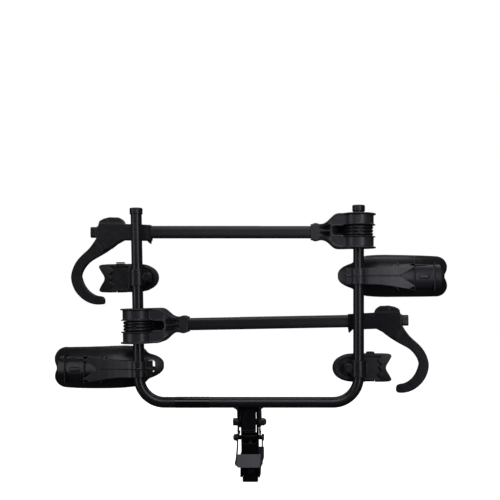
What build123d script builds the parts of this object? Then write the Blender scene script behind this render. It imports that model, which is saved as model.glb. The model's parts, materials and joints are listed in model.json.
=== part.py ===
from build123d import *
import os
from math import sin, cos, tan, asin, radians, degrees, pi, sqrt, atan2

# Hitch mounted platform rack for two bicycles, stored upright (folded up).
# Millimetres.  +X is to the right when standing behind the vehicle, +Y points
# forward to the vehicle, +Z is up.  The origin is the centre of the hitch pin
# hole in the stinger.
os.makedirs("parts", exist_ok=True)

# ------------------------------------------------------------------ driving dimensions
stinger_size = 50.8          # square tube for a 2 inch receiver
stinger_wall = 4.8
stinger_front = 75.0         # front end ahead of the pin hole
stinger_rear = -255.0        # rear end
pin_hole_r = 8.15            # hitch pin hole
cam_z = 12.6                 # height of the cam bolt above the stinger axis
cam_travel = 4.0

frame_y = -333.0             # plane of the U frame's tube axis
mast_lean = 12.0             # degrees, top towards the rear
mast_half = 30.5             # half width
mast_wall = 4.6
mast_v0, mast_v1 = -26.0, 30.0
pivot_y = frame_y + 47.0     # fold pivot
pivot_z = 195.0
pivot_r = 8.0
ear_r = 48.0

latch_r = 8.0
latch_rest = 59.0            # distance of the latch pin from the pivot, released
latch_travel = 9.0
rim_r = 50.2                 # rim of the notched side plates
fold_notches = (0.0, 90.0, 120.0)

plate_in, plate_out = 36.0, 39.7   # side plates of the frame's bracket

tube_r = 19.05               # 1.5 inch frame tube
tube_wall = 2.6
bend_r = 89.0
crossbar_z = 271.2
leg_x_right = 384.5
left_leg_splay = 1.07        # degrees, the left leg leans outwards at its top
left_bend_x = -382.4
left_bend_z = crossbar_z + bend_r * (1.0 - cos(radians(90.0 - left_leg_splay)))
leg_top_right = 957.0
leg_top_left = 947.0

fork_z_right = 870.0         # arm pivot heights
fork_z_left = 538.6
tray_z_right = 711.8
tray_z_left = 388.0
cradle_z_left = 706.7
cradle_z_right = 389.5
cradle_out_left = 11.4       # the cradles sit this much further out / in on their clamps
cradle_out_right = -11.4

knuckle_r = 52.8
knuckle_h = 60.6             # half height
slot_h = 19.2                # half height of the gap round the fixed collar
arm_y = 58.0                 # arm axis, forward of the leg axis
arm_h = 22.0                 # half height of the arm tube
arm_d = 15.0                 # half depth
arm_end = 928.0
arm_start = 142.0
rack_x0, rack_x1, rack_pitch = 352.0, 926.0, 7.0
hook_y0, hook_y1 = 45.0, 71.0


# ------------------------------------------------------------------ helpers
def bx(x0, x1, y0, y1, z0, z1):
    return Pos((x0 + x1) / 2, (y0 + y1) / 2, (z0 + z1) / 2) * Box(x1 - x0, y1 - y0, z1 - z0)


def rod(p0, p1, r):
    a, b = Vector(*p0), Vector(*p1)
    d = b - a
    return Part() + Solid.make_cylinder(r, d.length, Plane(origin=a, z_dir=d.normalized()))


def ring(p0, p1, ro, ri):
    a, b = Vector(*p0), Vector(*p1)
    d = (b - a).normalized()
    return rod(p0, p1, ro) - rod(tuple(a - d), tuple(b + d), ri)


def hexa(p0, p1, af):
    a, b = Vector(*p0), Vector(*p1)
    d = b - a
    return extrude(Plane(origin=a, z_dir=d.normalized()) * RegularPolygon(af / 2, 6, major_radius=False), d.length)


def face_of(pts):
    return make_face(Polyline(*pts, close=True))


def prism_xz(pts, y0, y1):
    f = make_face(Polyline(*[(x, y0, z) for x, z in pts], close=True))
    return extrude(f, y1 - y0, dir=(0, 1, 0))


def prism_xy(pts, z0, z1):
    f = make_face(Polyline(*[(x, y, z0) for x, y in pts], close=True))
    return extrude(f, z1 - z0, dir=(0, 0, 1))


def prism_yz(pts, x0, x1):
    f = make_face(Polyline(*[(x0, y, z) for y, z in pts], close=True))
    return extrude(f, x1 - x0, dir=(1, 0, 0))


def curve_xz(parts, y0, y1):
    """Prism of a closed outline in XZ.  Each part is ("l"|"s", [points])."""
    edges = []
    for kind, pts in parts:
        p3 = [(x, y0, z) for x, z in pts]
        edges.append(Polyline(*p3) if kind == "l" else Spline(*p3))
    w = Curve() + edges
    return extrude(make_face(w), y1 - y0, dir=(0, 1, 0))


def rrect_x(y0, y1, z0, z1, r, x0, x1):
    """Rounded rectangle in YZ, extruded along X."""
    f = Plane(origin=(x0, (y0 + y1) / 2, (z0 + z1) / 2), x_dir=(0, 1, 0), z_dir=(1, 0, 0)) * RectangleRounded(y1 - y0, z1 - z0, r)
    return extrude(f, x1 - x0, dir=(1, 0, 0))


def rrect_z(x0, x1, y0, y1, r, z0, z1):
    f = Pos((x0 + x1) / 2, (y0 + y1) / 2, z0) * RectangleRounded(x1 - x0, y1 - y0, r)
    return extrude(f, z1 - z0, dir=(0, 0, 1))


def rrect_y(x0, x1, z0, z1, r, y0, y1):
    f = Plane(origin=((x0 + x1) / 2, y0, (z0 + z1) / 2), x_dir=(1, 0, 0), z_dir=(0, -1, 0)) * RectangleRounded(x1 - x0, z1 - z0, r)
    return extrude(f, y1 - y0, dir=(0, 1, 0))


nodes = {}


def put(name, *things):
    sol = []
    for t in things:
        sol += list(t.solids())
    nodes[name] = sol


def at(loc, obj):
    return [loc * s for s in obj.solids()]


def flip(obj):
    """Mirror image across the YZ plane."""
    return Part() + [mirror(s, about=Plane.YZ) for s in obj.solids()]


LEG_R = Location((leg_x_right, frame_y, 0.0))
_a = radians(left_leg_splay)
LEG_L0 = Location((left_bend_x, frame_y, left_bend_z), (0, -left_leg_splay, 0))


def leg_right(z):
    return Location((leg_x_right, frame_y, z))


def leg_left(z):
    return LEG_L0 * Location((0, 0, (z - left_bend_z) / cos(_a)))


# ------------------------------------------------------------------ stinger and anti-wobble cam
s2 = stinger_size / 2
si = s2 - stinger_wall
slope = 29.3                                   # set-back of the front end's top edge
_outer = rrect_y(-s2, s2, -s2, s2, 6.0, stinger_rear, stinger_front)
_inner = rrect_y(-si, si, -si, si, 2.5, stinger_rear - 1, stinger_front + 1)
front_cut = prism_yz([(stinger_front, -s2 - 0.001), (stinger_front - slope, s2 + 0.001), (stinger_front + 50, s2 + 0.001), (stinger_front + 50, -s2 - 0.001)], -40, 40)
stinger = _outer - _inner - front_cut - rod((-40, 0, 0), (40, 0, 0), pin_hole_r)
put("stinger_tube", stinger)

# wedge that climbs the sloping end of the stinger
wl = 58.0
w0 = 0.3
wedge = prism_yz([(stinger_front + w0, -s2 + 1), (stinger_front - slope * (s2 * 2 - 1) / (s2 * 2) + w0, s2 - 0.5),
                  (stinger_front + wl - slope, s2 - 0.5), (stinger_front + wl - 8, s2 - 8), (stinger_front + wl - 8, -s2 + 1)], -s2 + 0.5, s2 - 0.5)
wedge = wedge - prism_xz([(-5.6, cam_z - 10.5), (5.6, cam_z - 10.5), (5.6, cam_z + 5.6), (-5.6, cam_z + 5.6)], 20, 160)
wedge = wedge - bx(-16, 16, stinger_front + 6, stinger_front + wl - 14, -s2 + 7, cam_z - 14)
nut_y = stinger_front + 34.0
wedge = wedge - bx(-6.9, 6.9, nut_y - 0.15, nut_y + 8.15, cam_z - 11.2, cam_z + 6.9)
put("cam_wedge", wedge)
put("cam_nut", bx(-6.5, 6.5, nut_y, nut_y + 8.0, cam_z - 6.5, cam_z + 6.5) - rod((0, 0, cam_z), (0, 200, cam_z), 4.0))
plug = rrect_y(-si + 0.2, si - 0.2, -si + 0.2, si - 0.2, 2.2, stinger_rear + 1.0, stinger_rear + 9.0) \
    + (rrect_y(-28.0, 28.0, -27.0, 24.6, 4.5, stinger_rear - 3.0, stinger_rear - 0.05) - bx(-60, -25.2, -400, 0, -8.4, 60) - bx(25.2, 60, -400, 0, -8.4, 60)) \
    + rod((0, stinger_rear - 4.2, cam_z - 3.2), (0, stinger_rear + 9, cam_z - 3.2), 10.4) \
    + rrect_y(-si + 0.2, si - 0.2, -si + 0.2, si - 0.2, 2.2, stinger_rear - 1.0, stinger_rear + 2.0) \
    - rod((0, stinger_rear - 6, cam_z), (0, stinger_rear + 20, cam_z), 4.1) - rod((0, stinger_rear - 6, cam_z), (0, stinger_rear + 1.0, cam_z), 7.6)
put("stinger_end_plug", plug)
cam_bolt = rod((0, stinger_rear - 3.6, cam_z), (0, stinger_rear + 0.9, cam_z), 7.2) + rod((0, stinger_rear, cam_z), (0, stinger_front + wl - 9.5, cam_z), 4.0) \
    - hexa((0, stinger_rear - 5, cam_z), (0, stinger_rear - 0.4, cam_z), 6.0)
put("cam_bolt", cam_bolt)

# ------------------------------------------------------------------ mast (local: z up the lean, y forward, origin on the pivot)
LM = Location((0, pivot_y, pivot_z), (mast_lean, 0, 0))
h = mast_half
tube = rrect_z(-h, h, mast_v0, mast_v1, 11.0, -262, ear_r) - rrect_z(-h + mast_wall, h - mast_wall, mast_v0 + mast_wall, mast_v1 - mast_wall, 6.4, -263, ear_r + 1)
tube = tube & (bx(-40, 40, -60, 60, -270, 0) + rod((-40, 0, 0), (40, 0, 0), ear_r))
tube = tube - rrect_y(-25.6, 25.6, -72, 60, 12.0, mast_v0 - 5, mast_v0 + mast_wall + 4)
tube = tube - rrect_y(-25.6, 25.6, -52, 60, 8.0, mast_v1 - mast_wall - 4, mast_v1 + 5)
tube = tube - rod((-40, 0, 0), (40, 0, 0), 11.0)
slot = rod((-40, 0, -latch_rest - 1.0), (40, 0, -latch_rest - 1.0), latch_r + 0.35) + rod((-40, 0, -latch_rest + latch_travel + 0.5), (40, 0, -latch_rest + latch_travel + 0.5), latch_r + 0.35) \
    + bx(-40, 40, -latch_r - 0.35, latch_r + 0.35, -latch_rest - 1.0, -latch_rest + latch_travel + 0.5)
tube = tube - slot
mast = Part() + at(LM, tube)
mast = mast - bx(-60, 60, -500, 0, -200, -8.0) - bx(-s2, s2, -500, 0, -200, s2)
put("mast", mast)

# cheek plates on the mast's foot
cheek = []
for sx in (-1, 1):
    x0, x1 = (h, h + 4.6) if sx > 0 else (-h - 4.6, -h)
    pl = prism_yz([(-272, -8), (-218, -8), (-206, 4), (-206, 40), (-226, 78), (-262, 78), (-272, 60)], x0, x1)
    pl = fillet(pl.edges().filter_by(Axis.X).sort_by(Axis.Z)[:2], 5)
    cheek.append(pl)
put("mast_gussets", *cheek)

# spring seat and spring under the latch pin
seat = at(LM, rrect_z(-25.2, 25.2, -21.2, 25.2, 6.2, -112, -107) + rod((0, 0, -108), (0, 0, -84), 5.0))
put("latch_spring_seat", Part() + seat)
coils = Part()
for i in range(7):
    coils += Pos(0, 0, -105.4 + 1.4 + i * 5.6) * Torus(8.0, 1.3)
coils += ring((0, 0, -106.0), (0, 0, -69.4), 8.5, 7.5)
put("latch_spring", Part() + at(LM, coils))

# ------------------------------------------------------------------ latch pin, straps and foot pedal
zr = -latch_rest
put("latch_pin", Part() + at(LM, rod((-59.3, 0, zr), (-23.0, 0, zr), latch_r) + rod((23.0, 0, zr), (48.2, 0, zr), latch_r) + bx(-23.5, 23.5, -9.5, 9.5, zr - 8.0, zr + 5.5)))
nutL = ring((-47.2, 0, zr), (-49.2, 0, zr), 13.5, latch_r) + (hexa((-49.2, 0, zr), (-56.6, 0, zr), 22.0) - rod((-60, 0, zr), (-40, 0, zr), latch_r))
nutR = ring((47.2, 0, zr), (48.2, 0, zr), 12.6, latch_r) + (rod((48.2, 0, zr), (50.2, 0, zr), 11.4) - hexa((48.9, 0, zr), (52, 0, zr), 8.0))
pin_w = LM * Location((0, 0, zr))
py, pz = pin_w.position.Y, pin_w.position.Z
ped_y = frame_y - 6.0
ped_top, ped_bot = 88.0, 45.0
straps = []
for sx in (-1, 1):
    x0, x1 = (42.2, 46.4) if sx > 0 else (-46.4, -42.2)
    st = prism_yz([(py - 9, pz - 4), (py + 9, pz - 4), (py + 3, 100), (ped_y + 30, 60), (ped_y + 26, 50), (ped_y + 1.0, 50), (ped_y + 4.0, 66), (py - 13, 104)], x0, x1) + rod((x0, py, pz), (x1, py, pz), 13.0)
    st = st - rod((-90, py, pz), (90, py, pz), latch_r)
    straps.append(st)
    straps.append(ring((x1 if sx > 0 else x0 - 0.8, py, pz), ((x1 + 0.8) if sx > 0 else x0, py, pz), 12.0, latch_r))
put("pedal_straps", straps[0], straps[2])
put("latch_nuts", Part() + at(LM, nutL), Part() + at(LM, nutR), straps[1], straps[3])
# pedal: bent plate between the straps, face leaning back at the top, with two side flanges
pw = 41.9
pf = prism_yz([(ped_y - 4, ped_bot), (ped_y, ped_bot - 0.5), (ped_y + 14, ped_top), (ped_y + 9.5, ped_top + 0.5)], -pw, pw)
pf = pf - prism_xz([(-60, ped_bot - 4), (-60, ped_bot + 5), (-pw, ped_bot + 5), (6.5 - pw, ped_bot - 1), (6.5 - pw, ped_bot - 4)], ped_y - 30, ped_y + 40) \
    - prism_xz([(60, ped_bot - 4), (60, ped_bot + 5), (pw, ped_bot + 5), (pw - 6.5, ped_bot - 1), (pw - 6.5, ped_bot - 4)], ped_y - 30, ped_y + 40)
fl = []
for sx in (-1, 1):
    x0, x1 = (pw - 3.6, pw) if sx > 0 else (-pw, 3.6 - pw)
    fl.append(prism_yz([(ped_y - 1.0, ped_bot + 8), (ped_y + 44, ped_bot + 9), (ped_y + 44, ped_bot + 24), (ped_y + 14, ped_top), (ped_y + 9.5, ped_top + 0.5)], x0, x1))
pf = pf + fl[0] + fl[1] + bx(-pw + 1, pw - 1, ped_y + 5.0, ped_y + 22, ped_bot + 24, ped_bot + 27.6)
rv = (ped_y + 15, ped_bot + 13.0)
pf = pf - rod((-60, rv[0], rv[1]), (60, rv[0], rv[1]), 4.0)
put("foot_pedal", pf)
pb = []
for sx in (-1, 1):
    xi = (pw - 3.6) * sx
    xo = 46.4 * sx
    b = rod((xi - 2.0 * sx, rv[0], rv[1]), (xo, rv[0], rv[1]), 4.0) + rod((xo, rv[0], rv[1]), (xo + 2.2 * sx, rv[0], rv[1]), 6.4) + rod((xi - 2.0 * sx, rv[0], rv[1]), (xi, rv[0], rv[1]), 6.4)
    pb.append(b)
nodes["pedal_straps"] = list((nodes["pedal_straps"][0] - rod((-90, rv[0], rv[1]), (90, rv[0], rv[1]), 4.0)).solids()) \
    + list((nodes["pedal_straps"][1] - rod((-90, rv[0], rv[1]), (90, rv[0], rv[1]), 4.0)).solids())
put("pedal_rivets", *pb)

# ------------------------------------------------------------------ U frame tube
bl = radians(90.0 - left_leg_splay)
lbx = left_bend_x + bend_r * sin(bl)
lb0 = (lbx, frame_y, crossbar_z)
lbc = (lbx, crossbar_z + bend_r)
mid = bl / 2
lbm = (lbc[0] - bend_r * sin(mid), frame_y, lbc[1] - bend_r * cos(mid))
lb1 = (lbc[0] - bend_r * sin(bl), frame_y, lbc[1] - bend_r * cos(bl))
legd = (-sin(_a), cos(_a))
ll = (leg_top_left - lb1[2]) / legd[1]
lt = (lb1[0] + ll * legd[0], frame_y, lb1[2] + ll * legd[1])
rb0 = (leg_x_right - bend_r, frame_y, crossbar_z)
rbm = (leg_x_right - bend_r + bend_r * sin(pi / 4), frame_y, crossbar_z + bend_r - bend_r * cos(pi / 4))
rb1 = (leg_x_right, frame_y, crossbar_z + bend_r)
rt = (leg_x_right, frame_y, leg_top_right)
u_path = Wire([Edge.make_line(lt, lb1), Edge.make_three_point_arc(lb1, lbm, lb0), Edge.make_line(lb0, rb0),
               Edge.make_three_point_arc(rb0, rbm, rb1), Edge.make_line(rb1, rt)])
start = Plane(origin=lt, z_dir=(-legd[0], 0, -legd[1]))
u_out = sweep(start * Circle(tube_r), path=u_path)
u_in = sweep(start * Circle(tube_r - tube_wall), path=u_path)
u_tube = u_out - u_in
put("u_frame_tube", u_tube)

caps = []
for loc in (leg_right(leg_top_right), leg_left(leg_top_left)):
    c = rod((0, 0, -18.8), (0, 0, 3.2), 22.3)
    c = fillet(c.edges().sort_by(Axis.Z)[-1:], 3.0)
    c = fillet(c.edges().sort_by(Axis.Z)[:1], 1.4) - rod((0, 0, -20), (0, 0, 0), tube_r)
    caps.append(Part() + at(loc, c))
put("leg_end_caps", *caps)
put("label_band", ring((-255.1, frame_y, crossbar_z), (-136.3, frame_y, crossbar_z), tube_r + 0.4, tube_r))

# bracket under the crossbar: two notched plates and a web
cyr, czr = frame_y - pivot_y, crossbar_z - pivot_z          # crossbar axis from the pivot
LP = Location((0, pivot_y, pivot_z))
plates = []
for sx in (-1, 1):
    x0, x1 = (plate_in, plate_out) if sx > 0 else (-plate_out, -plate_in)
    p = rod((x0, 0, 0), (x1, 0, 0), rim_r)
    # neck up to the crossbar
    p = p + prism_yz([(cyr - 15, czr - 4), (cyr + 17.5, czr - 4), (cyr + 34, czr - 36), (rim_r * 0.80, rim_r * 0.60), (0, -10), (-rim_r, 0)], x0, x1)
    p = p - rod((x0 - 5, cyr, czr), (x1 + 5, cyr, czr), tube_r)
    p = p - rod((x0 - 5, 0, 0), (x1 + 5, 0, 0), pivot_r)
    for f in fold_notches:
        ang = radians(-90 + mast_lean - f)
        for rr in [latch_rest - latch_travel + 3 * i for i in range(8)]:
            p = p - rod((x0 - 5, rr * cos(ang), rr * sin(ang)), (x1 + 5, rr * cos(ang), rr * sin(ang)), latch_r + 0.4)
    # window between the pivot and the latch rim, open towards the vehicle
    p = p - prism_yz([(-8, -18), (60, -18), (60, -60), (27, -60), (25, -35), (-4, -35), (-8, -31)], x0 - 5, x1 + 5)
    # weld gusset between plate and tube
    gx = [(plate_out, czr - 28), (plate_out, czr - 12), (plate_out + 12, czr - 12), (plate_out + 12, czr - 19.5), (plate_out + 4.5, czr - 22)]
    g = prism_xz([(a * sx, b) for a, b in gx], cyr - 12, cyr + 12)
    p = p + (g - rod((-80, cyr, czr), (80, cyr, czr), tube_r))
    plates.append(Part() + at(LP, p))
put("frame_side_plates", *plates)
wx = plate_in - 0.05
web = bx(-wx, wx, -38, -34, 40, 70) + bx(-wx, 0.6 - mast_half - 1.2, -38, -34, -9, 41) + bx(mast_half + 0.6, wx, -38, -34, -9, 41) + rrect_y(-25.0, 25.0, -30.0, 60, 3.0, -38, -34) + bx(-24.4, 24.4, -40.5, -34, -30, -24.5) - rod((-60, cyr, czr), (60, cyr, czr), tube_r)
web = web - rod((-60, cyr, czr), (60, cyr, czr), tube_r) 
put("bracket_web", Part() + at(LP, Part() + web.solids().sort_by(SortBy.VOLUME)[-1]))

bolt = rod((-52.0, 0, 0), (55.4, 0, 0), pivot_r) + rod((-39.8, 0, 0), (-46.6, 0, 0), 14.2) + hexa((-46.4, 0, 0), (-58.8, 0, 0), 24.0)
put("pivot_bolt", Part() + at(LP, bolt))
wash = ring((39.8, 0, 0), (42.2, 0, 0), 15.0, pivot_r)
nut = hexa((42.2, 0, 0), (53.0, 0, 0), 24.0) + fillet(rod((53.0, 0, 0), (59.0, 0, 0), 10.6).edges().sort_by(Axis.X)[-1:], 4.5) + wash - rod((39, 0, 0), (55.6, 0, 0), pivot_r)
put("pivot_nut", Part() + at(LP, nut))
bushes = []
for sx in (-1, 1):
    a, b, c = 22.0 * sx, h * sx, (plate_in - 0.2) * sx
    q = rod((a, 0, 0), (c, 0, 0), 11.0) + rod((b, 0, 0), (c, 0, 0), 20.0) - rod((a - sx, 0, 0), (c + sx, 0, 0), pivot_r + 0.05)
    bushes.append(Part() + at(LP, q))
put("pivot_bushes", *bushes)

# ------------------------------------------------------------------ arm, local: leg axis = z axis, arm along +x, +y forward
half = [(66, knuckle_h), (74, 60.0), (82, 57.4), (91, 51.0), (101.5, 41.2), (110.5, 33.8), (120, 29.2), (129, 27.6), (138, 28.6)]
# collar bead with two nubs, then the socket's end
top = [(138, 28.6), (146, 31.2), (156, 31.2), (160, 28.5), (168, 27.0)]
outline = [("l", [(-60, -knuckle_h), (-60, knuckle_h), half[0]]), ("s", half), ("l", top + [(168, -27.0)] + [(x, -z) for x, z in top[::-1][1:]]),
           ("s", [(x, -z) for x, z in half[::-1]]), ("l", [(66, -knuckle_h), (-60, -knuckle_h)])]
fork_v = curve_xz(outline, -70, 100)
plan = prism_xy([(-20, 48), (14, 52.5), (60, 70), (96, 80.5), (168, 80.5), (168, 35.5), (136, 35.5), (126, 22), (116, 2), (106, -12), (94, -20), (46, -27), (0, 0)], -70, 70) \
    + rod((0, 0, -70), (0, 0, 70), knuckle_r)
fork = fork_v & plan
for z0 in (knuckle_h - 5.0, -knuckle_h):
    fork = fork + rod((0, 0, z0), (0, 0, z0 + 5.0), 60.5)
for z0 in (slot_h, -slot_h - 3.2):
    fork = fork + rod((0, 0, z0), (0, 0, z0 + 3.2), 59.0)
fork = fork - rod((0, 0, -slot_h), (0, 0, slot_h), 59.8)
window = rrect_y(40, 94, -15.75, 15.75, 12.0, -80, 46)
fork = fork - window
fork = fork - rod((0, 0, -80), (0, 0, 80), 22.0)
for s in (-1, 1):
    za, zb = sorted((s * slot_h, s * (knuckle_h - 6.0)))
    fork = fork - (rod((0, 0, za), (0, 0, zb), 47.5) - rod((0, 0, za - 1), (0, 0, zb + 1), 28.0))
fork = fork - rrect_x(arm_y - arm_d, arm_y + arm_d, -arm_h, arm_h, 10.5, arm_start, 190)
# shallow rib grooves along the neck
for s in (-1, 1):
    fork = fork - prism_xz([(100, s * 3), (100, s * 22), (136, s * 14), (136, s * 3)], -20, 38.5)
put("fork", fork)
fork_c = fork
bush_c = ring((0, 0, slot_h + 0.4), (0, 0, knuckle_h), 22.0, tube_r + 0.05) + ring((0, 0, -slot_h - 0.4), (0, 0, -knuckle_h), 22.0, tube_r + 0.05)

arm_c = rrect_x(arm_y - arm_d, arm_y + arm_d, -arm_h, arm_h, 10.5, arm_start, arm_end) - rrect_x(arm_y - arm_d + 3, arm_y + arm_d - 3, -arm_h + 3, arm_h - 5, 7.5, arm_start - 1, arm_end + 1)
arm_c = arm_c - bx(rack_x0 - 0.5, arm_end + 1, arm_y - 6.1, arm_y + 6.1, arm_h - 3.0, arm_h + 1)
teeth = [(rack_x0, arm_h - 3.0)]
x = rack_x0
while x + rack_pitch <= rack_x1:
    teeth += [(x, arm_h - 2.4), (x + 0.6, arm_h + 0.9), (x + 2.2, arm_h + 0.9)]
    x += rack_pitch
teeth += [(x, arm_h - 2.4), (x, arm_h - 3.0)]
teeth = [teeth[0]] + teeth[1:]
rack_c = prism_xz(teeth, arm_y - 6.0, arm_y + 6.0)
cap_c = rrect_x(arm_y - 13, arm_y + 13, -20, 18.6, 8.0, arm_end + 2.2, arm_end + 23) + rrect_x(arm_y - 11.7, arm_y + 11.7, -18.7, 16.7, 7.0, arm_end - 25, arm_end + 3)
cap_c = cap_c + (rrect_x(arm_y - arm_d, arm_y + arm_d, -arm_h, arm_h - 3.05, 11.0, arm_end + 0.1, arm_end + 2.4) - rrect_x(arm_y - 5, arm_y + 5, -5, 5, 1, arm_end - 1, arm_end) )

# hook head
outer = [(929.0, -19.0), (939.5, -36.0), (957.5, -59.5), (983.0, -83.5), (1003.0, -107.5), (1015.5, -134.0), (1020.5, -160.0), (1016.5, -185.0),
         (1005.5, -210.0), (985.5, -233.5), (960.0, -250.5), (933.0, -258.0), (907.0, -257.0)]
tipc = [(907.0, -257.0), (903.3, -252.5), (903.8, -240.5), (908.5, -231.5), (919.3, -228.0)]
inner_a = [(919.3, -228.0), (937.5, -224.2), (953.2, -215.0), (968.9, -199.0), (980.0, -178.5), (986.5, -157.0)]
inner_b = [(986.5, -157.0), (981.8, -140.5), (971.0, -122.2), (957.5, -107.5), (932.1, -91.0), (905.0, -75.5), (880.0, -58.5), (859.5, -42.0), (846.5, -31.5), (835.3, -28.6)]
J = curve_xz([("l", [(929.0, -19.0), (922.0, 22.5), (835.3, 22.5), (835.3, -28.6)]), ("s", inner_b[::-1]), ("s", inner_a[::-1]), ("l", tipc[::-1]), ("s", outer[::-1])], hook_y0, hook_y1)
body = curve_xz([("l", [(735.6, 25.0), (735.6, -27.0), (738.0, -42.5), (744.9, -37.5), (751.3, -30.2), (769.9, -30.0), (835.3, -28.6), (859.5, -42.0), (880.0, -58.5),
                        (905, -66), (931, -30), (929.0, -19.0), (922.0, 22.5), (921.5, 30.0), (832.0, 30.0), (829.9, 28.6), (768.5, 26.6), (735.6, 25.0)])], arm_y - 19.5, arm_y + 19.5)
body = body - bx(735, 751.2, arm_y - 30, arm_y - 9, -50, -29.5) - bx(735, 751.2, arm_y + 9, arm_y + 30, -50, -29.5)
cheeks = curve_xz([("l", [(830.0, 27.0), (833.0, 36.0), (838.0, 43.5), (847.5, 50.0), (852, 51.2), (884.0, 51.8), (906.0, 46.0), (920.3, 38.6), (921.8, 27.0), (830.0, 27.0)])], arm_y - 14, arm_y + 14)
cheeks = cheeks - bx(820, 940, arm_y - 9.6, arm_y + 9.6, 30.0, 70)
head = J + body + cheeks
passage = rrect_x(arm_y - arm_d - 0.35, arm_y + arm_d + 0.35, -arm_h - 0.35, arm_h + 0.35, 10.8, 700, 960) + bx(700, 960, arm_y - 6.8, arm_y + 6.8, 0, arm_h + 2.0)
head = head - passage
head = head - bx(842, 868, arm_y - 6.8, arm_y + 6.8, 20, 40)
pin_x, pin_z = 885.3, 42.4
head = head - rod((pin_x, 20, pin_z), (pin_x, 100, pin_z), 3.0)
# rubber pad that lines the hook's inside
pts = [(937.5, -224.2), (953.2, -215.0), (968.9, -199.0), (980.0, -178.5), (986.5, -157.0)]
pts2 = [(986.5, -157.0), (981.8, -140.5), (971.0, -122.2), (957.5, -107.5), (932.1, -91.0)]


def offs(p, q, d):
    out = []
    for i, (x, z) in enumerate(p):
        a, b = p[max(i - 1, 0)], p[min(i + 1, len(p) - 1)]
        tx, tz = b[0] - a[0], b[1] - a[1]
        n = sqrt(tx * tx + tz * tz)
        out.append((x + q * tz / n * d, z - q * tx / n * d))
    return out


seq = pts + pts2[1:]
off = offs(seq, 1, 4.2)
pad_c = curve_xz([("l", seq + off[::-1] + [seq[0]])], arm_y - 9, arm_y + 9)
head = head - pad_c
pad_c = pad_c & J
head_c = Part() + head.solids().sort_by(SortBy.VOLUME)[-1]
pad_c = Part() + pad_c.solids().sort_by(SortBy.VOLUME)[-1]
lever_c = curve_xz([("l", [(838.5, 36.0), (839.5, 43.0), (848.5, 50.6), (853, 52.6), (884.0, 53.2), (905.0, 48.2), (917.5, 41.5), (917.5, 39.0), (900.0, 38.6), (885.3, 37.4), (868.0, 33.0), (864.0, 25.4), (857.0, 24.3), (853.0, 33.5), (838.5, 36.0)])],
                   arm_y - 9.2, arm_y + 9.2)
lever_c = lever_c - (bx(846, 870, arm_y - 12, arm_y - 6.2, 20, 33.4) + bx(846, 870, arm_y + 6.2, arm_y + 12, 20, 33.4))
for i in range(5):
    lever_c = lever_c - rod((893 + i * 4.4, 40, 53.2 - 1.1 * i), (893 + i * 4.4, 80, 53.2 - 1.1 * i), 1.3)
lever_c = lever_c - rod((pin_x, 40, pin_z), (pin_x, 80, pin_z), 3.05)
lpin_c = rod((pin_x, arm_y - 14.0, pin_z), (pin_x, arm_y + 14.0, pin_z), 3.0)
collar_c = ring((0, 0, -18.6), (0, 0, 18.6), 28.0, tube_r) + ring((0, 0, -4.5), (0, 0, 4.5), 47.0, tube_r) + ring((0, 0, -17.0), (0, 0, 17.0), 46.5, 41.0)
for zt in (-11.5, 0.0, 11.5):
    collar_c = collar_c + Pos(0, 0, zt) * Torus(45.6, 5.4)
for sy in (-1, 1):
    collar_c = collar_c - rod((0, sy * 18, 0), (0, sy * 60, 0), 4.0) - rod((0, sy * 44, 0), (0, sy * 60, 0), 7.0)
screws_c = []
for sy in (-1, 1):
    screws_c.append(rod((0, sy * 19.2, 0), (0, sy * 45, 0), 4.0) + rod((0, sy * 44, 0), (0, sy * 50.5, 0), 6.8) - hexa((0, sy * 46.5, 0), (0, sy * 52, 0), 6.0))
del nodes["fork"]

RU, LL = leg_right(fork_z_right), leg_left(fork_z_left)
for nm, obj in (("fork", fork_c), ("fork_bushes", bush_c), ("arm_tube", arm_c), ("rack", rack_c), ("arm_end_cap", cap_c), ("hook", head_c),
                ("hook_pad", pad_c), ("lever_pin", lpin_c), ("release_lever", lever_c)):
    put("upper_" + nm, Part() + at(RU, flip(obj)))
    put("lower_" + nm, Part() + at(LL, obj))
put("pivot_collars", Part() + at(RU, collar_c), Part() + at(LL, collar_c))
put("collar_screws", *[Part() + at(RU, s) for s in screws_c], *[Part() + at(LL, s) for s in screws_c])

# ------------------------------------------------------------------ long tray for a front wheel, local: leg axis = z axis, outboard = +x
tray_x0, tray_R, tray_r = 130.0, 265.0, 95.0
tray_bottom = 30.0
cy = tray_bottom + tray_R + tray_r
otl = [(-70, 6), (-67, 16), (-58, 27), (-46, 35), (-30, 42), (-19, 46.5), (-8, 57), (2, 65), (16, 69.5), (42, 73.5), (78, 75.5), (150, 74.5), (210, 73.5), (281, 73.0),
       (301, 70.8), (314.5, 63.0), (322.5, 51.0), (325.8, 37), (323.0, 22), (314.5, 6)]


def tray_off(x):
    """The tray's outline stands a little above its clamp, mostly at the inner end."""
    return 3.3 - 2.0 * (x + 70) / 400


up_ = [(x, z + tray_off(x)) for x, z in otl]
lo_ = [(x, -z + tray_off(x)) for x, z in otl[::-1]]
t_out = curve_xz([("s", up_[:14]), ("s", up_[13:]), ("l", [up_[-1], lo_[0]]), ("s", lo_[:7]), ("s", lo_[6:]), ("l", [lo_[-1], up_[0]])], 0, 170)
tor_o = Pos(tray_x0, cy, 0) * Torus(tray_R, tray_r + 4.0)
tor_i = Pos(tray_x0, cy, 0) * Torus(tray_R, tray_r)
clip = prism_xy([(-90, 0), (350, 0), (350, 128), (-90, 128)], -90, 90)
shell = (t_out & clip & tor_o) - tor_i
shell = shell - rrect_y(-41.0, -2, -20, 24, 12.0, 0, 200)      # opening behind the clamp
shell = Part() + shell.solids().sort_by(SortBy.VOLUME)[-1]
spine_h = [(-45.5, 28.2), (42, 28.6), (75, 29.5), (125, 36.0), (165, 43.0), (199.5, 48.5)]
spine_o = spine_h + [(x, -z) for x, z in spine_h[::-1]]
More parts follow.
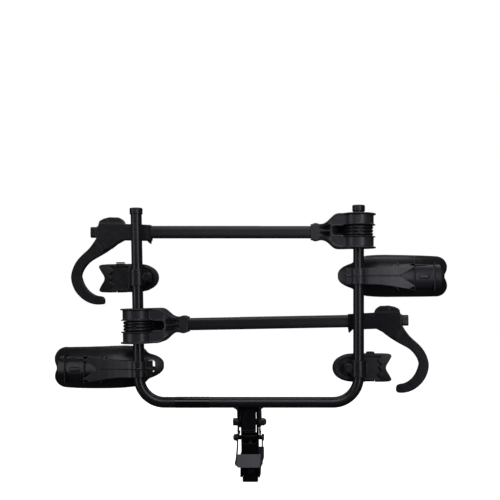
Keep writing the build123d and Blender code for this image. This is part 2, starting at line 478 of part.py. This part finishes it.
# rear face of the bracket in plan: round the leg, then sloping away outboard
rear = [(14, -25.4), (22, -20.6), (34, -16.4), (46, -13.2), (60, -9.6), (85, -3.6), (110, 1.5), (150, 8.0), (200, 14.5)]
split = [(200, 24.0), (60, 6.0), (46, -0.6)]
bulge = extrude(Plane(origin=(118, 0, 0), x_dir=(0, 1, 0), z_dir=(1, 0, 0)) * Ellipse(31, 43.5), 178)
bulge = Part() + at(Location((198, 52, 0), (0, 0, 12)), Pos(-198, 0, 0) * bulge)
pocket = prism_xz([(146, 3), (196.5, 31), (196.5, -31)], -40, 60)
for s_ in (-1, 1):
    pocket = pocket + prism_xz([(178, s_ * 42.5), (196.5, s_ * 46.5), (196.5, s_ * 36)], -40, 60)
block = prism_xz(spine_o, -40, 120) - pocket
fins = []
for s_ in (-1, 1):
    fins.append(prism_xz([(124, s_ * 33), (143, s_ * 51), (146, s_ * 50), (131, s_ * 33)], 15, 120))
ribs = bx(196.5, 200.0, 10, 120, -51, 51) + bx(270, 273.5, 10, 120, -50.5, 50.5)
ribs = ribs & prism_xy([(190, 13.5), (200.5, 15.0), (262, 28), (276, 32), (290, 120), (190, 120)], -60, 60)
boss = rrect_y(216, 252, -5.5, 6.5, 5.5, 12, 60) & prism_xy([(200, 19.0), (262, 30.0), (262, 60), (200, 60)], -20, 20)
spine = (block & prism_xy([(-45.5, -0.5), (46, -0.5)] + [(x, y + 0.1) for x, y in split[::-1][1:]] + [(200, 120), (-45.5, 120)], -60, 60)) + bulge + ribs + fins[0] + fins[1] + boss
spine = spine - tor_o - rod((0, 0, -40), (0, 0, 40), tube_r)
spine = spine - prism_xy([(100, -60), (100, -0.5), (46, -0.5), (60, 6.1), (150, 17.6), (150, -60)], -60, 60)
spine = Part() + [q for q in spine.solids() if q.bounding_box().min.Y < 60]
spine = Part() + spine.solids().sort_by(SortBy.VOLUME)[-1]
# the saddle stops at the clamp's inner end, where a lug carries a stop screw
spine = spine - bx(-80, -20, 16.5, 200, -60, 60)
# lighten it from above and leave ribs
nose_l = [(-60, 16), (-72, 10), (-72, -10), (-60, -16)]
capc = rod((0, 0, -28.2), (0, 0, 28.2), 29.0) + bx(-45.5, 0, -13, 0, -28.2, 28.2) + rod((-52, -9, 1), (-52, -0.6, 1), 8.0) + bx(-52, -44, -9, -0.6, -7, 9)
capc = (capc & bx(-80, 46, -60, -0.6, -40, 40)) + (block & prism_xy([(0, -0.6), (0, -20)] + rear + split, -60, 60) & bx(0, 196.4, -60, 60, -60, 60))
capc = capc - bulge - rod((0, 0, -40), (0, 0, 40), tube_r) - hexa((-52, -12, 1), (-52, -4, 1), 8.0)
tb = []
hole = []
for bx_, bz_ in ((-36, 16), (-36, -16), (36, 16), (36, -16)):
    tb.append(rod((bx_, -9.5, bz_), (bx_, 16.6, bz_), 4.0) + rod((bx_, 16.5, bz_), (bx_, 24.5, bz_), 6.8) - hexa((bx_, 20.5, bz_), (bx_, 26, bz_), 6.0))
    hole.append(rod((bx_, -9.5, bz_), (bx_, 16.6, bz_), 4.0))
    spine = spine - rod((bx_, 16.5, bz_), (bx_, 120, bz_), 7.4)
for q in hole:
    spine = spine - q
    capc = capc - q
capc = Part() + capc.solids().sort_by(SortBy.VOLUME)[-1]
spine = Part() + spine.solids().sort_by(SortBy.VOLUME)[-1]

RT, LT = leg_right(tray_z_right), leg_left(tray_z_left)
put("right_wheel_tray", Part() + at(RT, shell))
put("right_tray_saddle", Part() + at(RT, spine))
put("right_tray_clamp", Part() + at(RT, capc))
put("left_wheel_tray", Part() + at(LT, flip(shell)))
put("left_tray_saddle", Part() + at(LT, flip(spine)))
put("left_tray_clamp", Part() + at(LT, flip(capc)))
put("tray_clamp_bolts", *[Part() + at(RT, t) for t in tb], *[Part() + at(LT, flip(t)) for t in tb])

# ------------------------------------------------------------------ short cradle for a rear wheel, local: leg axis = z axis, outboard = +x
co = [(-79.5, 0), (-77.0, 14), (-69, 27), (-55, 38), (-36, 46), (-10, 49.6), (20, 50.2)]
cl = [(x, -z) for x, z in co[::-1]]
cr = curve_xz([("s", co), ("l", [(20, 50.2), (96, 50.2), (118, 49.0), (127, 46.5), (129.5, 40), (121, 24), (112, 10), (109, 0), (112, -10), (121, -24), (129.5, -40), (127, -46.5), (118, -49.0), (96, -50.2), (20, -50.2)]), ("s", cl)], 19.5, 41.0)
cr = cr & rod((-100, 320, 0), (200, 320, 0), 300.5)
cr = cr - prism_xz([(24, 41), (92, 41), (80, 25), (93, 11), (84, 0), (93, -11), (80, -25), (92, -41), (24, -41)], 0, 25.5)
cr = cr - prism_xz([(-30, 36), (16, 40), (16, -40), (-30, -36), (-52, -26), (-62, -10), (-62, 10), (-52, 26)], 0, 24.0)
cr = cr - rod((-56, 128.5, 0), (200, 128.5, 0), 97.5)
cr = cr - (rod((37.5, 128.5, 0), (70.5, 128.5, 0), 100.2) & bx(30, 80, 20, 60, -60, 60))
cr = cr - bx(37.5, 70.5, 10, 60, 44.0, 60) - bx(37.5, 70.5, 10, 60, -60, -44.0)
cradle_raw = Part() + cr.solids().sort_by(SortBy.VOLUME)[-1]


def cradle_cut(obj, out):
    """The cradle shell set out along its clamp, relieved round the leg."""
    q = (Pos(out, 0, 0) * obj) - rod((0, 0, -60), (0, 0, 60), 27.4)
    return Part() + q.solids().sort_by(SortBy.VOLUME)[-1]


cclamp = rod((0, 0, -29.0), (0, 0, 29.0), 27.0) + bx(-50, 0, -9, 9, -17, 17) + rod((-37, -16, 0), (-37, 9, 0), 14.5)
cclamp = cclamp - rod((0, 0, -40), (0, 0, 40), tube_r) - bx(-60, -19, -0.8, 0.8, -40, 40) - rod((-37, -20, 0), (-37, 20, 0), 5.0)
cclamp = cclamp + bx(22, 33, -6, 6, -22, 22) - rod((0, 0, -40), (0, 0, 40), tube_r)
cclamp = cclamp & (rod((0, 0, -29.0), (0, 0, 29.0), 60))
cclamp = Part() + cclamp.solids().sort_by(SortBy.VOLUME)[-1]
cbolt = rod((-37, -15, 0), (-37, 14, 0), 5.0) + rod((-37, -23, 0), (-37, -16, 0), 8.6) + rod((-37, -16.2, 0), (-37, -15, 0), 5.0) + hexa((-37, 9.1, 0), (-37, 15.5, 0), 16.0) - hexa((-37, -24, 0), (-37, -19, 0), 8.0)
strap = (rod((38, 128.5, 0), (70, 128.5, 0), 99.8) - rod((30, 128.5, 0), (80, 128.5, 0), 97.7)) & bx(38, 70, 20, 45, -50.8, 50.8)
bbase = bx(37.8, 70.2, 29, 38.2, 44.3, 51.5) - (rod((30, 128.5, 0), (80, 128.5, 0), 100.0) - rod((30, 128.5, 0), (80, 128.5, 0), 97.5)) - bx(30, 80, 40, 60, 40, 60)
bbase = Part() + bbase.solids().sort_by(SortBy.VOLUME)[-1]
blev = rod((40, 28.0, 54.4), (68, 28.0, 54.4), 2.4) + bx(41, 67, 28.0, 41.2, 53.0, 55.6) + bx(44, 64, 38.6, 41.2, 53.0, 56.6)

LC, RC = leg_left(cradle_z_left), leg_right(cradle_z_right)
put("upper_cradle", Part() + at(LC, flip(cradle_cut(cradle_raw, cradle_out_left))))
put("lower_cradle", Part() + at(RC, cradle_cut(cradle_raw, cradle_out_right)))
put("upper_cradle_clamp", Part() + at(LC, flip(cclamp)))
put("lower_cradle_clamp", Part() + at(RC, cclamp))
for nm, obj in (("cradle_strap", strap), ("buckle_base", bbase), ("buckle_lever", blev)):
    put("upper_" + nm, Part() + at(LC, flip(Part() + (Pos(cradle_out_left, 0, 0) * obj))))
    put("lower_" + nm, Part() + at(RC, Part() + (Pos(cradle_out_right, 0, 0) * obj)))
put("cradle_clamp_bolts", Part() + at(LC, flip(cbolt)), Part() + at(RC, cbolt))

# ------------------------------------------------------------------ write
for f in os.listdir("parts"):
    if f.endswith(".step"):
        os.remove(os.path.join("parts", f))
for name, sol in nodes.items():
    obj = sol[0] if len(sol) == 1 else Compound(children=sol)
    obj.label = name
    export_step(obj, "parts/" + name + ".step")
print(len(nodes), "nodes")
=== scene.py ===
import bpy, bmesh, json, math
from mathutils import Vector, Matrix


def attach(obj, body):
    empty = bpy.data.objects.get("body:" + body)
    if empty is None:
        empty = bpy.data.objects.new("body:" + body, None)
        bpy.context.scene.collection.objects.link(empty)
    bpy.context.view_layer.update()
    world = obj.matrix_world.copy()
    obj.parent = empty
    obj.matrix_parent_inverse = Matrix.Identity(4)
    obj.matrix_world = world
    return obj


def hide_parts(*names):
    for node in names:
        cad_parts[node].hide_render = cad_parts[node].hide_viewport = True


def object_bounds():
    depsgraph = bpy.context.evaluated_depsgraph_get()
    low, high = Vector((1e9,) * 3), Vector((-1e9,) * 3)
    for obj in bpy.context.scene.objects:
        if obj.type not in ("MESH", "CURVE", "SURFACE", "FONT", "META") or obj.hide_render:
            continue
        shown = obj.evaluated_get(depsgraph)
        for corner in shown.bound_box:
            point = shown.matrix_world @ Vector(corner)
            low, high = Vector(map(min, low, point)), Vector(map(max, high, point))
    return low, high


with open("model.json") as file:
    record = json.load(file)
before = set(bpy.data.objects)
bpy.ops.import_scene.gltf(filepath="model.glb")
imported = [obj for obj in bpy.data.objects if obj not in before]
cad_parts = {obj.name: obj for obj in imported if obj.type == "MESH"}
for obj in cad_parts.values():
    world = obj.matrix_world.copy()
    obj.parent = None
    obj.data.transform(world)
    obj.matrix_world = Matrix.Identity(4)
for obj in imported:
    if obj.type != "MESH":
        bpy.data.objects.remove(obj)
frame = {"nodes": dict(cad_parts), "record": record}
cad_box = [list(v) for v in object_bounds()]
N, REC = frame["nodes"], frame["record"]
scene = bpy.context.scene
coll = scene.collection
SLOT = {s["node"]: s["material_slot"] for s in REC["subparts"]}
BODY = {n: b for b, ns in REC["behaviour"]["bodies"].items() for n in ns}

# ------------------------------------------------------------------ camera
cam_d = bpy.data.cameras.new("camera")
cam = bpy.data.objects.new("camera", cam_d)
coll.objects.link(cam)
cam.location = (0.2216, -2.933, 0.6637)
cam.rotation_euler = (math.radians(90), 0, 0)
cam_d.sensor_width = 36.0
cam_d.lens = 53.56
cam_d.shift_x, cam_d.shift_y = -0.124, 0.08
cam_d.clip_start, cam_d.clip_end = 0.05, 60
scene.camera = cam
scene.view_settings.view_transform = "Standard"
scene.view_settings.look = "None"

# ------------------------------------------------------------------ material helpers
def nt_new(name):
    m = bpy.data.materials.new(name)
    m.use_nodes = True
    nt = m.node_tree
    nt.nodes.clear()
    out = nt.nodes.new("ShaderNodeOutputMaterial")
    p = nt.nodes.new("ShaderNodeBsdfPrincipled")
    nt.links.new(p.outputs[0], out.inputs[0])
    return m, nt, p


def coords(nt, scale=(1, 1, 1)):
    tc = nt.nodes.new("ShaderNodeTexCoord")
    mp = nt.nodes.new("ShaderNodeMapping")
    mp.inputs["Scale"].default_value = scale
    nt.links.new(tc.outputs["Object"], mp.inputs[0])
    return mp.outputs[0]


def noise(nt, vec, scale, detail=3.0, rough=0.55, dist=0.0):
    n = nt.nodes.new("ShaderNodeTexNoise")
    n.inputs["Scale"].default_value = scale
    n.inputs["Detail"].default_value = detail
    n.inputs["Roughness"].default_value = rough
    n.inputs["Distortion"].default_value = dist
    nt.links.new(vec, n.inputs["Vector"])
    return n.outputs["Fac"]


def ramp(nt, fac, stops):
    r = nt.nodes.new("ShaderNodeValToRGB")
    while len(r.color_ramp.elements) < len(stops):
        r.color_ramp.elements.new(0.5)
    for e, (p, c) in zip(r.color_ramp.elements, stops):
        e.position = p
        e.color = (c[0], c[1], c[2], 1) if hasattr(c, "__len__") else (c, c, c, 1)
    nt.links.new(fac, r.inputs[0])
    return r.outputs[0]


def maprange(nt, fac, a, b, c, d):
    r = nt.nodes.new("ShaderNodeMapRange")
    for k, v in zip(("From Min", "From Max", "To Min", "To Max"), (a, b, c, d)):
        r.inputs[k].default_value = v
    nt.links.new(fac, r.inputs["Value"])
    return r.outputs[0]


def bump(nt, height, dist, strength=1.0, prev=None):
    b = nt.nodes.new("ShaderNodeBump")
    b.inputs["Distance"].default_value = dist
    b.inputs["Strength"].default_value = strength
    nt.links.new(height, b.inputs["Height"])
    if prev is not None:
        nt.links.new(prev, b.inputs["Normal"])
    return b.outputs[0]


MAT = {}

def satin(name, dark, light, r0, r1, tex, grain, grain_d, peel=0.0, stretch=(1, 1, 1), metallic=0.0, coat=0.0, spec=0.5):
    """Black coated surface: slow colour mottling, roughness from two scales, fine grain and optional orange peel as bump."""
    m, nt, p = nt_new(name)
    v = coords(nt, stretch)
    big = noise(nt, v, 9.0, 3.0)
    mid = noise(nt, v, tex, 4.0, 0.6)
    p.inputs["IOR"].default_value = 1.5
    p.inputs["Metallic"].default_value = metallic
    p.inputs["Specular IOR Level"].default_value = spec
    if coat:
        p.inputs["Coat Weight"].default_value = coat
        p.inputs["Coat Roughness"].default_value = 0.06
    nt.links.new(ramp(nt, big, [(0.3, dark), (0.7, light)]), p.inputs["Base Color"])
    nt.links.new(maprange(nt, mid, 0.3, 0.7, r0, r1), p.inputs["Roughness"])
    g = noise(nt, v, grain, 2.0, 0.5)
    b = bump(nt, g, grain_d, 1.0)
    if peel:
        b = bump(nt, noise(nt, v, 260.0, 1.5, 0.4), peel, 1.0, b)
    nt.links.new(b, p.inputs["Normal"])
    MAT[name] = m
    return m


satin("steel_black", (0.0085, 0.0085, 0.0098), (0.0125, 0.0125, 0.0145), 0.27, 0.36, 70, 900, 0.00003, peel=0.00004)
satin("cast_black", (0.009, 0.009, 0.0105), (0.0135, 0.0135, 0.0155), 0.30, 0.42, 55, 650, 0.00005, peel=0.00005)
satin("arm_black", (0.012, 0.012, 0.014), (0.018, 0.018, 0.021), 0.30, 0.40, 60, 700, 0.00003, stretch=(0.05, 1, 1))
satin("nylon_black", (0.0085, 0.0085, 0.0095), (0.0125, 0.0125, 0.014), 0.30, 0.40, 60, 1100, 0.00005)
satin("gloss_band", (0.004, 0.004, 0.005), (0.006, 0.006, 0.007), 0.05, 0.09, 40, 500, 0.000002)
satin("rubber_black", (0.012, 0.012, 0.012), (0.02, 0.02, 0.02), 0.55, 0.75, 80, 900, 0.00006)
satin("hardware", (0.03, 0.03, 0.034), (0.06, 0.06, 0.066), 0.28, 0.42, 120, 900, 0.00002, metallic=0.6)
satin("pedal_grey", (0.068, 0.068, 0.074), (0.100, 0.100, 0.108), 0.35, 0.5, 90, 700, 0.00004, peel=0.00004)
satin("bronze", (0.28, 0.18, 0.08), (0.36, 0.24, 0.11), 0.3, 0.45, 120, 900, 0.00003, metallic=1.0)

# painted shade: a copy of the cast black with a weaker sheen, put on the lower hook alone so it reads darker
satin("hook_painted_shade", (0.012, 0.012, 0.0145), (0.018, 0.018, 0.021), 0.20, 0.28, 55, 650, 0.00005, peel=0.00005, spec=0.2)
# painted light: a lighter copy of the cast black, put on both forks and on the right tray saddle and clamp alone
satin("cast_black_painted_light", (0.024, 0.024, 0.028), (0.034, 0.034, 0.039), 0.30, 0.42, 55, 650, 0.00005, peel=0.00005)
# painted shade: a near-black copy of the steel black with a weaker sheen, put on the mast, bracket web, latch pin and
# stinger plug and tube
satin("steel_painted_shade", (0.0035, 0.0035, 0.0042), (0.006, 0.006, 0.007), 0.3, 0.42, 70, 900, 0.00003, peel=0.00004, spec=0.22)
# parts that take a lit or shaded copy of their finish in place of their slot's material: painted light and painted
# shade
PAINTED_LIGHT_COPIES = {"lower_hook": "hook_painted_shade", "right_tray_saddle": "cast_black_painted_light", "right_tray_clamp": "cast_black_painted_light", "lower_fork": "cast_black_painted_light", "upper_fork": "cast_black_painted_light", "mast": "steel_painted_shade", "bracket_web": "steel_painted_shade", "latch_pin": "steel_painted_shade",
       "stinger_end_plug": "steel_painted_shade", "stinger_tube": "steel_painted_shade"}
SLOT_MAT = {n: PAINTED_LIGHT_COPIES.get(n, s_) for n, s_ in SLOT.items()}

for n, o in N.items():
    o.data.materials.clear()
    o.data.materials.append(MAT[SLOT_MAT[n]])

# ------------------------------------------------------------------ cast and moulded shapes
MM = 0.001
SPLAY = math.radians(1.07)
BZ = 358.7


def leg_r(z):
    return Matrix.Translation((0.3845, -0.333, z * MM))


def leg_l(z):
    bz = 271.2 + 89.0 * (1.0 - math.cos(math.radians(90 - 1.07)))
    return Matrix.Translation((-0.3824, -0.333, bz * MM)) @ Matrix.Rotation(-SPLAY, 4, "Y") @ Matrix.Translation((0, 0, (z - bz) / math.cos(SPLAY) * MM))


MIR = Matrix.Scale(-1, 4, (1, 0, 0))
ONE = Matrix.Identity(4)
from mathutils.bvhtree import BVHTree


def bm_node(node, T):
    """A node's mesh taken back to its own local place."""
    bm = bmesh.new()
    bm.from_mesh(N[node].data)
    bm.transform(T.inverted())
    if T.determinant() < 0:
        bmesh.ops.reverse_faces(bm, faces=bm.faces)
    bmesh.ops.remove_doubles(bm, verts=bm.verts, dist=1e-6)
    return bm


def tube(bm, pts, r, n=10):
    """A closed round bead along points, in metres."""
    pts = [Vector(p) for p in pts]
    rings = []
    for k, p in enumerate(pts):
        d = (pts[min(k + 1, len(pts) - 1)] - pts[max(k - 1, 0)]).normalized()
        u = d.orthogonal().normalized() if k == 0 else (u0 - d * u0.dot(d)).normalized()
        u0 = u
        w_ = d.cross(u)
        rings.append([bm.verts.new(p + (u * math.cos(t) + w_ * math.sin(t)) * r) for t in [2 * math.pi * j / n for j in range(n)]])
    for a, b_ in zip(rings, rings[1:]):
        for j in range(n):
            bm.faces.new((a[j], a[(j + 1) % n], b_[(j + 1) % n], b_[j]))
    bm.faces.new(rings[0][::-1])
    bm.faces.new(rings[-1])


def fine(pts, step=4.0):
    out = []
    for a, b_ in zip(pts, pts[1:]):
        d = math.dist(a, b_)
        k = max(1, int(d / step))
        out += [(a[0] + (b_[0] - a[0]) * t / k, a[1] + (b_[1] - a[1]) * t / k) for t in range(k)]
    return out + [pts[-1]]


def smooth2(pts, times=2):
    """Chaikin rounding of an open 2-D line."""
    for _ in range(times):
        q = [pts[0]]
        for a, b_ in zip(pts, pts[1:]):
            q += [(a[0] * .75 + b_[0] * .25, a[1] * .75 + b_[1] * .25), (a[0] * .25 + b_[0] * .75, a[1] * .25 + b_[1] * .75)]
        pts = q + [pts[-1]]
    return pts


def bead(bm, tree, pts, r, sink=0.0, side=1):
    """A raised bead lying on the face that looks to the rear (side 1) or to the front (side -1)."""
    run = []
    for x, z in fine(smooth2(pts)):
        hit = tree.ray_cast(Vector((x * MM, -0.4 * side, z * MM)), Vector((0, side, 0)))
        if hit[0] is not None and (not run or abs(hit[0].y - run[-1][1]) < 0.008):
            run.append((x * MM, hit[0].y + sink * MM * side, z * MM))
        else:
            if len(run) > 2:
                tube(bm, run, r * MM)
            run = []
    if len(run) > 2:
        tube(bm, run, r * MM)


def slab(bm, x0, x1, z0, z1, f0, f1, nx=24, nz=24, taper=0.0):
    """A curved plate between two depths given as functions of (x, z), in mm."""
    grid = []
    for f in (f0, f1):
        g = []
        for i_ in range(nx + 1):
            x = x0 + (x1 - x0) * i_ / nx
            k = 1.0 - taper * max(0.0, (i_ / nx - 0.8) / 0.2) ** 2
            g.append([bm.verts.new((x * MM, f(x, (z0 + (z1 - z0) * j / nz) * k) * MM, (z0 + (z1 - z0) * j / nz) * k * MM)) for j in range(nz + 1)])
        grid.append(g)
    A, B = grid
    for i_ in range(nx):
        for j in range(nz):
            bm.faces.new((A[i_][j], A[i_ + 1][j], A[i_ + 1][j + 1], A[i_][j + 1]))
            bm.faces.new((B[i_][j], B[i_][j + 1], B[i_ + 1][j + 1], B[i_ + 1][j]))
    for i_ in range(nx):
        bm.faces.new((A[i_][0], B[i_][0], B[i_ + 1][0], A[i_ + 1][0]))
        bm.faces.new((A[i_][nz], A[i_ + 1][nz], B[i_ + 1][nz], B[i_][nz]))
    for j in range(nz):
        bm.faces.new((A[0][j], A[0][j + 1], B[0][j + 1], B[0][j]))
        bm.faces.new((A[nx][j], B[nx][j], B[nx][j + 1], A[nx][j + 1]))


def remeshed(bm, voxel, rounds):
    """One skin over everything in the mesh, with its edges rounded."""
    me = bpy.data.meshes.new("tmp")
    bm.to_mesh(me)
    bm.free()
    o = bpy.data.objects.new("tmp", me)
    coll.objects.link(o)
    r = o.modifiers.new("skin", "REMESH")
    r.mode, r.voxel_size, r.adaptivity = "VOXEL", voxel * MM, 0.0
    if rounds:
        q = o.modifiers.new("soft", "SMOOTH")
        q.factor, q.iterations = 0.5, rounds
    dg = bpy.context.evaluated_depsgraph_get()
    out = bpy.data.meshes.new_from_object(o.evaluated_get(dg))
    bpy.data.objects.remove(o)
    bpy.data.meshes.remove(me)
    return out


def piece(name, mesh, node, T):
    me = mesh.copy()
    me.transform(T)
    if T.determinant() < 0:
        me.flip_normals()
    for p_ in me.polygons:
        p_.use_smooth = True
    me.materials.clear()
    me.materials.append(MAT[SLOT_MAT[node]])
    o = bpy.data.objects.new(name, me)
    coll.objects.link(o)
    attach(o, BODY[node])
    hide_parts(node)
    return o


def cast(voxel, rounds, extra, *placed):
    """placed: (node, transform) pairs that share one shape; the first one gives the mesh."""
    node, T = placed[0]
    bm = bm_node(node, T)
    if extra:
        tree = BVHTree.FromBMesh(bm)
        extra(bm, tree)
    me = remeshed(bm, voxel, rounds)
    for n_, T_ in placed:
        piece(n_ + "_cast", me, n_, T_)


# forks: raised rim round the plates, lines on the neck
def fork_extra(bm, tree):
    rim = [(58, 56.4), (67, 56.4), (74, 55.6), (82, 52.6), (90.5, 46.4), (100, 37), (108.5, 29.8), (118, 25), (128, 23.4)]
    for s_ in (-1, 1):
        bead(bm, tree, [(x, z * s_) for x, z in rim], 1.7, 0.2)
    for s_ in (-1, 1):
        bead(bm, tree, [(50, s_ * 19), (84, s_ * 19), (93, s_ * 16.5), (98.3, s_ * 9), (98.5, 0)], 1.0, 0.2)


LF, UF = leg_l(538.6), leg_r(870.0) @ MIR
cast(1.35, 3, fork_extra, ("lower_fork", LF), ("upper_fork", UF))


# hooks
def hook_extra(bm, tree):
    ridge = [(771, 8), (800, 8), (832, 6), (850, -4), (872, -26)]
    bead(bm, tree, [(737.5, 23), (737.5, -25)], 1.6, 0.2)
    bead(bm, tree, [(760, 15), (826, 15)], 0.9, 0.1)


cast(1.5, 5, hook_extra, ("lower_hook", LF), ("upper_hook", UF))
cast(0.9, 4, None, ("lower_release_lever", LF), ("upper_release_lever", UF))
cast(1.0, 3, None, ("lower_arm_end_cap", LF), ("upper_arm_end_cap", UF))

# trays
TX0, TR, Tr, TCY = 130.0, 265.0, 95.0, 390.0


def tray_y(x, z, r):
    rho = TR + math.sqrt(max(r * r - z * z, 1.0))
    return TCY - math.sqrt(max(rho * rho - (x - TX0) ** 2, 1.0))


def toff(x):
    return 3.3 - 2.0 * (x + 70) / 400


OTL = [(30, 72), (42, 73.5), (78, 75.5), (150, 74.5), (210, 73.5), (281, 73.0), (301, 70.8), (314.5, 63.0), (322.5, 51.0), (325.8, 37), (323.0, 22), (314.5, 6)]


def tray_extra(bm, tree):
    slab(bm, 132, 300, -42.5, 42.5, lambda x, z: tray_y(x, z, Tr + 8.5), lambda x, z: tray_y(x, z, Tr + 2), 40, 30, 0.25)
    for s_ in (-1, 1):
        ins = [(min(x, 318.5 if abs(z) > 30 else 308.5), (z - 5.2 if z > 60 else z * 0.92) * s_ + toff(x)) for x, z in OTL]
        bead(bm, tree, ins, 1.5, 0.3)
        bead(bm, tree, [(x, z * s_ + toff(x)) for x, z in ((30, 71), (78, 74.3), (150, 73.4), (281, 71.9), (300, 69.8), (313.5, 62.0), (321.2, 50.5), (324.5, 37))], 2.0, 0.6)
    for z in (27.0, -27.0):
        bead(bm, tree, [(204, z), (264, z)], 0.9, 0.2)


RT, LT = leg_r(711.8), leg_l(388.0) @ MIR
cast(1.15, 3, tray_extra, ("right_wheel_tray", RT), ("left_wheel_tray", LT))


def saddle_extra(bm, tree):
    pass


cast(1.3, 4, None, ("right_tray_saddle", RT), ("left_tray_saddle", LT))


def clamp_extra(bm, tree):
    bead(bm, tree, [(-44, 1.6), (-20, 1.6), (0, 1.8), (60, 2.2), (140, 2.8)], 1.7, 0.3)


cast(1.0, 3, clamp_extra, ("right_tray_clamp", RT), ("left_tray_clamp", LT))

# cradles and their clamps
UC, LC = leg_l(706.7) @ MIR, leg_r(389.5)
cast(1.2, 3, None, ("upper_cradle", UC))
cast(1.2, 3, None, ("lower_cradle", LC))
cast(1.0, 3, None, ("lower_cradle_clamp", LC), ("upper_cradle_clamp", UC))
for n_, v_, k_ in (("leg_end_caps", 1.0, 2), ("foot_pedal", 0.9, 2), ("stinger_end_plug", 0.8, 2), ("frame_side_plates", 0.9, 2), ("mast_gussets", 0.9, 2), ("pedal_straps", 0.8, 2),
                   ("mast", 1.2, 2), ("bracket_web", 0.8, 2), ("pivot_nut", 0.6, 2), ("pivot_bolt", 0.7, 2), ("latch_nuts", 0.6, 2), ("cam_wedge", 1.0, 2)):
    cast(v_, k_, None, (n_, ONE))


# arms: extrusion with a lightly crowned face and a slot along its top for the rack
def arm_mesh():
    def half_w(z):          # half depth of the extrusion at a height
        return 15.0 * max(0.0, 1.0 - abs(z / 22.0) ** 4.6) ** (1 / 4.6)
    zs = [22.0 * math.sin(math.pi / 2 * (k / 20)) for k in range(-20, 21)]
    right = [(half_w(z), z) for z in zs]
    left = [(-y, z) for y, z in right[::-1]]
    plain = right + left[1:-1]
    cut = [(y, z) for y, z in right if not (z > 21.2 and y < 6.3)]
    top = [(6.2, 21.95), (6.05, 21.7), (6.05, 18.9), (-6.05, 18.9), (-6.05, 21.7), (-6.2, 21.95)]
    slotp = cut + top + [(-y, z) for y, z in cut[::-1]][:-1]
    bm = bmesh.new()
    for prof, x0, x1, nx in ((plain, 142.2, 352.0, 8), (slotp, 351.6, 927.9, 20)):
        rings = []
        for i_ in range(nx + 1):
            x = x0 + (x1 - x0) * i_ / nx
            rings.append([bm.verts.new((x * MM, (58.0 + y) * MM, z * MM)) for y, z in prof])
        m_ = len(prof)
        for a, b_ in zip(rings, rings[1:]):
            for j in range(m_):
                bm.faces.new((a[j], b_[j], b_[(j + 1) % m_], a[(j + 1) % m_]))
        bm.faces.new(rings[0])
        bm.faces.new(rings[-1][::-1])
    bmesh.ops.recalc_face_normals(bm, faces=bm.faces)
    me = bpy.data.meshes.new("arm")
    bm.to_mesh(me)
    bm.free()
    return me


am = arm_mesh()
for n_, T_ in (("lower_arm_tube", LF), ("upper_arm_tube", UF)):
    o = piece(n_ + "_crowned", am, n_, T_)
    o.data.set_sharp_from_angle(angle=math.radians(40))

# ------------------------------------------------------------------ floor, world and lights
def area(name, loc, target, sx, sy, power, spread=180):
    ld = bpy.data.lights.new(name, "AREA")
    ld.shape = "RECTANGLE"
    ld.size, ld.size_y, ld.energy = sx, sy, power * 1.08
    ld.color = (0.93, 0.91, 1.0)
    ld.spread = math.radians(spread)
    o = bpy.data.objects.new(name, ld)
    coll.objects.link(o)
    o.location = loc
    o.rotation_euler = (Vector(target) - Vector(loc)).to_track_quat("-Z", "Y").to_euler()
    o.visible_camera = False
    return o


def polar(az, el, d, c=(0, -0.25, 0.55)):
    a, e = math.radians(az), math.radians(el)
    return (c[0] + d * math.sin(a) * math.cos(e), c[1] - d * math.cos(a) * math.cos(e), c[2] + d * math.sin(e))


C0 = (0, -0.25, 0.55)
area("key_right", polar(31, 5, 2.8), C0, 0.55, 2.2, 14)
area("key_left", polar(-57, 4, 2.6), C0, 0.9, 2.2, 9)
area("front_top", polar(2, 34, 3.0), C0, 2.4, 1.5, 24)
area("top", polar(180, 80, 2.6), C0, 3.0, 1.6, 26)
area("rear_right", polar(140, 35, 3.0), C0, 1.2, 1.2, 5)
area("rear_left", polar(-140, 35, 3.0), C0, 1.2, 1.2, 5)

w = bpy.data.worlds.new("studio")
scene.world = w
w.use_nodes = True
nt = w.node_tree
nt.nodes.clear()
wo = nt.nodes.new("ShaderNodeOutputWorld")
b_cam = nt.nodes.new("ShaderNodeBackground")
b_cam.inputs[0].default_value, b_cam.inputs[1].default_value = (1, 1, 1, 1), 1.0
b_env = nt.nodes.new("ShaderNodeBackground")
b_env.inputs[0].default_value, b_env.inputs[1].default_value = (0.93, 0.96, 1.0, 1), 0.03
mx = nt.nodes.new("ShaderNodeMixShader")
lp = nt.nodes.new("ShaderNodeLightPath")
nt.links.new(lp.outputs["Is Camera Ray"], mx.inputs[0])
nt.links.new(b_env.outputs[0], mx.inputs[1])
nt.links.new(b_cam.outputs[0], mx.inputs[2])
nt.links.new(mx.outputs[0], wo.inputs[0])

me = bpy.data.meshes.new("floor")
bm = bmesh.new()
bmesh.ops.create_grid(bm, x_segments=1, y_segments=1, size=25)
bm.to_mesh(me); bm.free()
floor = bpy.data.objects.new("floor", me)
coll.objects.link(floor)
floor.location = (0, 0, cad_box[0][2] - 0.0004)
m, nt, p = nt_new("floor_white")
p.inputs["Base Color"].default_value = (0.85, 0.85, 0.85, 1)
p.inputs["Roughness"].default_value = 0.9
p.inputs["Specular IOR Level"].default_value = 0.0
p.inputs["Emission Color"].default_value = (1, 1, 1, 1)
p.inputs["Emission Strength"].default_value = 1.0
me.materials.append(m)
floor.visible_glossy = False
floor.visible_diffuse = False
